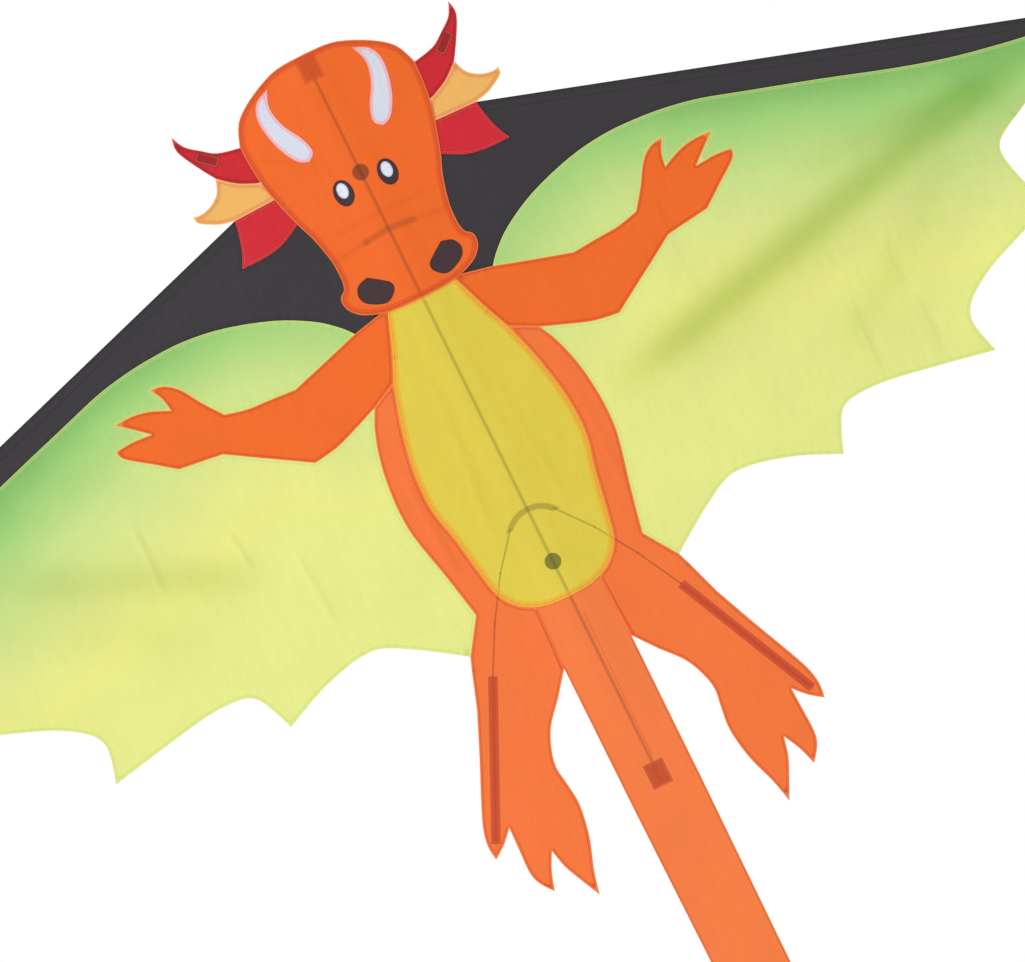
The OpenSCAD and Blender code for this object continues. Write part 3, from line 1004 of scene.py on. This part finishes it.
        # Painted shade on the far flank of each fold, on top of the lamps' shading of the lifted cloth.
        fold_shade_colour = (0.66, 0.74, 0.50) if f.printed else (0.86, 0.76, 0.68)
        colour = g.mix(colour, fold_shade_colour, self.attribute("shade"), "MULTIPLY")
        weave = self.use(group("Ripstop", (("Point", VECTOR),), _ripstop), Point=self.flat)
        colour = g.mix(colour, (0.0, 0.0, 0.0), g.math("MULTIPLY", weave, 0.10))
        g.set(self.shader.inputs["Base Color"], colour)
        g.set(self.shader.inputs["Roughness"], g.math("MULTIPLY_ADD", cloud, 0.16, f.rough - 0.08))
        g.set(self.shader.inputs["Specular IOR Level"], 0.22)
        g.set(self.shader.inputs["Sheen Weight"], 0.08)
        crumple = g.noise(g.vector("MULTIPLY", self.here, (1.6, 0.3, 0.7)), 42.0, 5.0)
        wave = g.math("SINE", g.math("MULTIPLY", along, PUCKER_TURN))
        puckers = g.math("MULTIPLY", wave, g.mask(rim, 2.0, 15.0))
        height = g.math("ADD", g.math("MULTIPLY", weave, 0.12), g.math("MULTIPLY", crumple, 1.3))
        height = g.math("ADD", height, g.math("MULTIPLY", puckers, 0.10))
        height = g.math("SUBTRACT", height, g.math("MULTIPLY", stitch, 0.25))
        g.set(self.shader.inputs["Normal"], g.bump(height, 0.55, 0.0016))
        return self.material


# ---- Cloth ----


class Sewing:
    """Makes the cloth pieces, and shares their materials."""

    def __init__(self) -> None:
        """Finds each dark panel's edge, which the print follows."""
        self.materials: dict[str, bpy.types.Material] = {}
        self.dark_edges: dict[Side, np.ndarray] = {
            side: outlines(f"leading_panel_{side.word}", side)[0] for side in Side
        }

    def material(self, key: str) -> bpy.types.Material:
        """A finish's material, made once.

        Args:
            key: the finish.

        Returns:
            The material.
        """
        if key not in self.materials:
            self.materials[key] = ClothMaterial(f"{key}_cloth", FINISHES[key]).build()
        return self.materials[key]

    def mesh(
        self, name: str, points: np.ndarray, faces: list[list[int]], values: dict[str, np.ndarray]
    ) -> bpy.types.Object:
        """Makes an object.

        Args:
            name: its name.
            points: its points, in metres.
            faces: its faces.
            values: what each point holds, by the attribute's name.

        Returns:
            The object.
        """
        data = bpy.data.meshes.new(name)
        data.from_pydata(points.tolist(), [], faces)
        for label, held in values.items():
            data.attributes.new(label, "FLOAT", "POINT").data.foreach_set("value", held.astype(np.float32))
        data.shade_smooth()
        users = np.bincount([loop.edge_index for loop in data.loops], minlength=len(data.edges))
        data.attributes.new("sharp_edge", "BOOLEAN", "EDGE").data.foreach_set("value", users == 1)
        return add_object(name, data)

    def finish(self, piece: bpy.types.Object, key: str, thick: float = CLOTH_THICK) -> None:
        """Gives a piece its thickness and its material.

        Args:
            piece: the piece.
            key: its finish.
            thick: its thickness, in metres.
        """
        solid = piece.modifiers.new("cloth thickness", "SOLIDIFY")
        solid.thickness, solid.offset = thick, -1.0
        piece.data.materials.append(self.material(key))

    def panel(
        self,
        name: str,
        key: str,
        rings: Sequence[np.ndarray],
        side: Optional[Side],
        depth: float,
        stands_for: Sequence[str],
        hangs_from: str,
        step: float = 4.5,
        cuts: Sequence[float] = (),
    ) -> bpy.types.Object:
        """One cloth piece, flat pattern to slack cloth.

        Args:
            name: the piece's name.
            key: its finish.
            rings: its outlines, as (across, -down).
            side: its wing, or None on the spine.
            depth: how far behind the sail's face it lies, in millimetres.
            stands_for: the CAD nodes that it replaces.
            hangs_from: the rod that holds it; not used.
            step: the size of its triangles, in millimetres.
            cuts: levels of -down that are no real edge of the cloth.

        Returns:
            The finished cloth, not riding on anything yet.
        """
        points, faces, rim, along = [], [], [], []
        for ring in rings:
            flat, tris = filled(ring, step)
            dense = close_points(ring, step)
            a, b = dense, np.roll(dense, -1, 0)
            real = ~((a[:, 0] < 0.5) & (b[:, 0] < 0.5)) if side else np.ones(len(a), bool)
            for level in cuts:
                real &= ~((abs(a[:, 1] - level) < 0.01) & (abs(b[:, 1] - level) < 0.01))
            near, run = nearest(flat, a[real], b[real])
            faces += [[i + len(rim) for i in f] for f in tris]
            points += flat.tolist()
            rim += near.tolist()
            along += run.tolist()
        flat = np.array(points)
        across, down = flat[:, 0], -flat[:, 1]
        lift, shade = relief(across, down, side)
        placed = to_kite(across, down, depth - lift, side)
        values = {"rim": np.array(rim), "along": np.array(along), "shade": shade}
        if FINISHES[key].printed:
            edge = self.dark_edges[side]
            front, _ = nearest(flat, edge, np.roll(edge, -1, 0))
            values["front"] = front / PRINT_REACH + 0.16 * ease((520 - across) / 420)
        if side is Side.LEFT:
            faces = [f[::-1] for f in faces]
        piece = self.mesh(name, placed, faces, values)
        self.finish(piece, key)
        if stands_for:
            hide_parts(*stands_for)
        return piece

    def tape(
        self, name: str, node: str, a: tuple[float, float], b: tuple[float, float],
        half: float, top: float, side: Optional[Side], rod: str, base: float = 0.9,
    ) -> bpy.types.Object:
        """A sewn pocket behind the cloth, open at a and closed at b, humped over its rod.

        Args:
            name: the piece's name.
            node: the CAD node that it replaces.
            a, b: its two ends, as pattern points.
            half: half its width, in millimetres.
            top: how far back its hump stands.
            side: its wing, or None on the spine.
            rod: the rod in it; not used.
            base: how far back its sewn edges lie.

        Returns:
            The finished pocket, not riding on anything yet.
        """
        start, end = np.array(a), np.array(b)
        long = np.linalg.norm(end - start)
        way = (end - start) / long
        us, vs = np.linspace(0, 1, max(8, int(long / 4))), np.linspace(-1, 1, 25)
        u, v = (m.ravel() for m in np.meshgrid(us, vs, indexing="ij"))
        at = start + np.outer(u * long, way) + np.outer(v * half, [-way[1], way[0]])
        hump = ease((1 - abs(v) * half / min(6.5, half * 0.92)) * 1.15) * ease((1 - u) * long / 7)
        ripple = 0.12 * np.sin(u * long / 2.6) * (1 - abs(v))
        lift, _ = relief(abs(at[:, 0]), at[:, 1], side)
        placed = to_kite(at[:, 0], at[:, 1], base + hump * (top - base) + ripple - lift * (1 - hump), side)
        n = len(vs)
        faces = [[i * n + j, i * n + j + 1, (i + 1) * n + j + 1, (i + 1) * n + j]
                 for i in range(len(us) - 1) for j in range(n - 1)]
        edge = np.minimum((1 - abs(v)) * half, (1 - u) * long)
        piece = self.mesh(name, placed, faces, {"rim": edge, "along": u * long, "shade": np.zeros(len(u))})
        normal = np.array(piece.data.polygons[n].normal)
        if normal[1] < 0:
            piece.data.flip_normals()
        piece.data.update()
        self.finish(piece, "pocket", 0.0003)
        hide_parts(node)
        return piece


def across_spine(piece: bpy.types.Object) -> None:
    """Bakes the cloth's placement into its mesh."""
    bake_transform(piece)


def onto_foot(piece: bpy.types.Object, side: Side) -> None:
    """Works out where the foot's cloth starts to turn, but doesn't use it, and bakes the cloth's placement
    into its mesh.

    Args:
        piece: the cloth.
        side: its wing.
    """
    a, b = np.array(LEG_MOUTH), np.array(LEG_END)
    at = a + (b - a) * (FOOT_SPLIT + FOOT_LAG - a[1]) / (b[1] - a[1])
    start = to_kite(np.array([at[0]]), np.array([at[1]]), np.array([ROD_Y]), side)[0]
    start[2] = (NOSE - FOOT_SPLIT) / 1000
    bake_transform(piece)


@dataclass
class Head:
    """The face, its patches, and the horns, ears and frills sewn behind it."""

    sewing: Sewing
    side: Side

    def build(self) -> None:
        """Makes the face, what is sewn on it, and the horn's pocket."""
        word, side = self.side.word, self.side
        ring = outlines(f"head_{word}", side)[0]
        ring[ring[:, 0] < SPINE_STRIP, 0] = 0.0
        nodes = [f"head_{word}"] + (["head_middle"] if side is Side.LEFT else [])
        pieces = [self.sewing.panel(f"head_cloth_{word}", "head", [ring], side, -0.9, nodes, "spine_upper")]
        for key, depth, step in (
            ("horn", 0.1, 3.5), ("ear", 0.1, 3.5), ("frill", 0.1, 3.5),
            ("brow_stripe", -1.4, 3.0), ("face_patches", -1.4, 2.5), ("eye_shine", -1.9, 2.0),
        ):
            node = f"{key}_{word}"
            rings = outlines(node, side)
            if key == "horn":
                rings[0] = with_corner(rings[0], HORN_FOOT)
            pieces.append(self.sewing.panel(
                f"{key}_cloth_{word}", key, rings, side, depth, [node], "spine_upper", step=step))
        for piece in pieces:
            across_spine(piece)
        pocket = self.sewing.tape(
            f"horn_pocket_cloth_{word}", f"horn_pocket_{word}", (162.3, -22.8), (185.7, -43.2),
            7.5, 7.4, side, f"horn_rod_{word}")
        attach(pocket, side.wing)


@dataclass
class Wing:
    """A wing's dark leading panel with its sleeve, the printed panel and the arm."""

    sewing: Sewing
    side: Side
    sleeve_r: float = 3.6
    sleeve_y: float = 3.65
    turns: int = 16
    count: int = 200

    def build(self) -> None:
        """Makes the wing's cloths, its sleeve and its pocket."""
        word, side = self.side.word, self.side
        for key, node, step in (
            ("dark", "leading_panel", 5.0), ("wing", "wing_panel", 5.0), ("arm", "arm", 4.5),
        ):
            piece = self.sewing.panel(
                f"{node}_cloth_{word}", key, outlines(f"{node}_{word}", side)[:1], side, 0.1,
                [f"{node}_{word}"], f"leading_spar_{word}", step=step)
            across_spine(piece)
        self.sleeve()
        pocket = self.sewing.tape(
            f"spreader_pocket_cloth_{word}", f"spreader_pocket_{word}", (516, 189), (548, 189),
            7.5, 8.4, side, f"spreader_rod_{word}")
        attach(pocket, side.wing)

    def sleeve(self) -> None:
        """The hem that the spar runs in, a tube with small puckers, open at the head end."""
        word, side = self.side.word, self.side
        a, b = np.array(EDGE_IN), np.array(TIP)
        way = (b - a) / np.linalg.norm(b - a)
        inward = np.array([-way[1], way[0]])
        start, end = a + way * 11 + inward * self.sleeve_r, b - way * 2 + inward * self.sleeve_r
        turns, count = self.turns, self.count
        points = []
        for u in np.linspace(0, 1, count):
            at = start + (end - start) * u
            for t in np.arange(turns) * 2 * math.pi / turns:
                r = self.sleeve_r + 0.10 * math.sin(u * 410 + 2 * math.sin(t)) + 0.06 * math.sin(u * 1300)
                r = r * (0.35 if u == 1.0 else 1.0)
                p = at + inward * r * math.cos(t)
                back = self.sleeve_y + r * math.sin(t)
                points.append(to_kite(np.array([p[0]]), np.array([p[1]]), np.array([back]), side)[0])
        faces = [
            [i * turns + j, i * turns + k, (i + 1) * turns + k, (i + 1) * turns + j]
            for i in range(count - 1)
            for j, k in ((j, (j + 1) % turns) for j in range(turns))
        ]
        t = np.tile(np.arange(turns), count)
        run = np.repeat(np.linspace(0, 820, count), turns)
        piece = self.sewing.mesh(
            f"leading_sleeve_{word}", np.array(points), faces,
            {"rim": 3.0 + abs(t - turns / 2) * 1.4, "along": run, "shade": np.zeros(len(t))})
        bm = bmesh.new()
        bm.from_mesh(piece.data)
        bmesh.ops.recalc_face_normals(bm, faces=bm.faces)
        bm.to_mesh(piece.data)
        bm.free()
        self.sewing.finish(piece, "dark")
        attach(piece, side.wing)
        log.info("leading sleeve on the %s wing", word)


@dataclass
class Body:
    """Half of the belly, and the torso side with its leg and loose foot."""

    sewing: Sewing
    side: Side
    belly_top: float = -262.0
    tuck: float = 4.0
    ankle: tuple[int, int] = (159, -724)
    crotch: tuple[int, int] = (49, -776)

    def leg(self) -> np.ndarray:
        """The torso and leg as one pattern, joined at the ankle line.

        Returns:
            The ring of both.
        """
        torso = outlines(f"torso_{self.side.word}", self.side)[0]
        foot = outlines(f"foot_{self.side.word}", self.side)[0]
        ankle, crotch = np.array(self.ankle), np.array(self.crotch)
        foot = np.roll(foot, -corner(foot, crotch), 0)
        torso = np.roll(torso, -corner(torso, ankle), 0)
        return np.concatenate([torso[: corner(torso, crotch) + 1], foot[1 : corner(foot, ankle)]])

    def build(self) -> None:
        """Makes the belly, the torso, the foot and the leg's pocket."""
        word, side = self.side.word, self.side
        ring = outlines(f"belly_{word}", side)[0]
        ring[ring[:, 0] < SPINE_STRIP, 0] = 0.0
        ring[ring[:, 1] > self.belly_top, 1] += self.tuck
        nodes = [f"belly_{word}"] + (["belly_middle"] if side is Side.LEFT else [])
        belly = self.sewing.panel(
            f"belly_cloth_{word}", "belly", [ring], side, 0.1, nodes, "spine_lower", step=4.0)
        whole = self.leg()
        torso = self.sewing.panel(
            f"torso_cloth_{word}", "leg", [clipped(whole, -FOOT_SPLIT, True)], side, 0.1,
            [f"torso_{word}"], "spine_lower", cuts=[-FOOT_SPLIT])
        foot = self.sewing.panel(
            f"foot_cloth_{word}", "leg", [clipped(whole, -FOOT_SPLIT, False)], side, 0.1,
            [f"foot_{word}"], f"leg_rod_{word}", cuts=[-FOOT_SPLIT])
        across_spine(belly)
        across_spine(torso)
        onto_foot(foot, side)
        pocket = self.sewing.tape(
            f"leg_pocket_cloth_{word}", f"leg_pocket_{word}", LEG_MOUTH, LEG_END, 6.2, 7.6, side,
            f"leg_rod_{word}")
        onto_foot(pocket, side)


@dataclass
class Tail:
    """The ribbon tail, in three lengths."""

    sewing: Sewing
    top: tuple[tuple[float, float], ...] = ((48.0, -678.0), (52.5, -766.0), (49.2, -777.0))
    splits: tuple[float, float] = (-1240.0, -1790.0)
    bends: tuple[int, int, int] = (980, 1500, 2080)
    reach: int = 30

    def build(self) -> None:
        """Makes the ribbon, and the spine's two pockets."""
        nodes = ("tail_upper", "tail_middle", "tail_lower", "tail_end")
        edge = np.concatenate([outlines(n, None)[0] for n in nodes])
        edge = edge[((edge[:, 0] > 25) & (edge[:, 1] < -778)) | (edge[:, 1] < -2700)]
        edge = edge[edge[:, 1].argsort()[::-1]]
        edge = np.concatenate([self.top, edge])
        whole = np.concatenate([edge, (edge * [-1, 1])[::-1]])[::-1]
        keep = np.linalg.norm(whole - np.roll(whole, 1, 0), axis=1) > 1e-3
        whole = whole[keep] if area(whole[keep]) > 0 else whole[keep][::-1]
        splits = self.splits
        rings = (
            clipped(whole, splits[0], True),
            clipped(clipped(whole, splits[0], False), splits[1], True),
            clipped(whole, splits[1], False),
        )
        for k, ring in enumerate(rings):
            stands = [nodes[k]] + ([nodes[3]] if k == 2 else [])
            piece = self.sewing.panel(
                f"tail_cloth_{k + 1}", "tail", [ring], None, 0.75, stands, "spine_lower",
                step=6.0, cuts=splits)
            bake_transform(piece)
        for name, a, b, rod, base in (
            ("tail_pocket_cloth", (0, 936), (0, 971), "spine_lower", 1.3),
            ("head_pocket_cloth", (0, -61), (0, -96), "spine_upper", 0.2),
        ):
            piece = self.sewing.tape(name, "spine_pockets", a, b, 14.0, 8.5, None, rod, base)
            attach(piece, "frame")


class Rods:
    """Finishes for the frame's own pieces, which keep their CAD shapes."""

    @staticmethod
    def material(name: str, base: Colour, streak: Colour, rough: float, scale: Colour) -> bpy.types.Material:
        """A grained material.

        Args:
            name: its name.
            base, streak: the two colours that the grain mixes.
            rough: its lowest roughness.
            scale: how the grain is drawn out along each axis.

        Returns:
            The material.
        """
        made, g, shader = new_material(name)
        here = g.node("ShaderNodeTexCoord").outputs["Object"]
        grain = g.noise(g.vector("MULTIPLY", here, scale), 900.0, 3.0)
        g.set(shader.inputs["Base Color"], g.mix(base, streak, grain))
        g.set(shader.inputs["Roughness"], g.math("MULTIPLY_ADD", grain, 0.2, rough))
        g.set(shader.inputs["Normal"], g.bump(grain, 0.2, 0.0002))
        return made

    def build(self) -> None:
        """Gives every piece that still shows its CAD shape a finish."""
        rod = self.material("pultruded_rod", tone(34, 34, 38), tone(58, 58, 64), 0.22, (1.0, 1.0, 0.06))
        soft = self.material("moulded_vinyl", tone(26, 26, 28), tone(40, 40, 42), 0.5, (1.0, 1.0, 1.0))
        patch = self.material("patch_cloth", tone(40, 36, 38), tone(60, 54, 56), 0.6, (1.0, 1.0, 1.0))
        for name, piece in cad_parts.items():
            if piece.hide_render:
                continue
            chosen = rod if ("rod" in name or "spar_" in name or name.startswith("spine_")) else soft
            chosen = soft if "caps" in name else patch if "patches" in name else chosen
            piece.data.materials.clear()
            piece.data.materials.append(chosen)
            log.info("finish on %s", name)


@dataclass(frozen=True)
class Studio:
    """The camera, the lights and the floor.

    Args:
        turn: how far the kite lies off upright.
        far: the camera's distance, in metres.
        seen: the width that it takes in at the kite.
        lamps: each lamp's name, way, energy and angle in degrees.
    """

    turn: float = math.radians(26.3)
    far: float = 14.0
    seen: float = 1.346
    lamps: tuple = (("key", (0.75, 0.8, -0.55), 1.5, 12), ("fill", (-0.8, -0.5, -0.3), 0.45, 40))

    def camera(self) -> None:
        """Looks at the painted face, straight on, from far off."""
        data = bpy.data.cameras.new("camera")
        data.lens = data.sensor_width * self.far / self.seen
        data.clip_end = 60
        eye = add_object("camera", data)
        c, s = math.cos(self.turn), math.sin(self.turn)
        turned = Matrix(((c, s, 0), (0, 0, -1), (-s, c, 0))).to_4x4()
        eye.matrix_world = Matrix.Translation((-0.001, -self.far, -0.452)) @ turned
        bpy.context.scene.camera = eye

    def lights(self) -> None:
        """Adds a white background, an even sky and two lamps."""
        scene = bpy.context.scene
        scene.view_settings.view_transform = "Standard"
        world = bpy.data.worlds.new("studio")
        scene.world = world
        world.use_nodes = True
        g = Graph(world.node_tree)
        g.tree.nodes.clear()
        camera = g.node("ShaderNodeBackground")
        g.set(camera.inputs["Color"], (1.0, 1.0, 1.0))
        around = g.node("ShaderNodeBackground")
        g.set(around.inputs["Color"], (0.97, 0.98, 1.0))
        g.set(around.inputs["Strength"], 0.66)
        mixed = g.node("ShaderNodeMixShader")
        g.set(mixed.inputs[0], g.node("ShaderNodeLightPath").outputs["Is Camera Ray"])
        g.set(mixed.inputs[1], around.outputs[0])
        g.set(mixed.inputs[2], camera.outputs[0])
        g.set(g.node("ShaderNodeOutputWorld").inputs[0], mixed.outputs[0])
        for name, way, energy, soft in self.lamps:
            data = bpy.data.lights.new(name, "SUN")
            data.energy, data.angle = energy, math.radians(soft)
            lamp = add_object(name, data)
            lamp.rotation_euler = Vector(way).to_track_quat("-Z", "Y").to_euler()

    def floor(self) -> None:
        """Lays a plain floor just under the tail."""
        bpy.ops.object.select_all(action="DESELECT")
        bpy.ops.mesh.primitive_plane_add(size=30, location=(0, 0, CAD_BOX[0].z - 0.05))
        plane = bpy.context.object
        plane.name = "floor"
        made, g, shader = new_material("floor")
        g.set(shader.inputs["Base Color"], (0.86, 0.86, 0.86))
        g.set(shader.inputs["Roughness"], 0.9)
        plane.data.materials.append(made)

    def build(self) -> None:
        """Makes all three."""
        self.camera()
        self.lights()
        self.floor()


def main() -> None:
    """Builds the studio, the frame's finishes and every cloth."""
    logging.basicConfig(level=logging.INFO, format="%(name)s: %(message)s")
    Studio().build()
    sewing = Sewing()
    for side in Side:
        Head(sewing, side).build()
        Wing(sewing, side).build()
        Body(sewing, side).build()
    Tail(sewing).build()
    Rods().build()


if __name__ == "__main__":
    main()
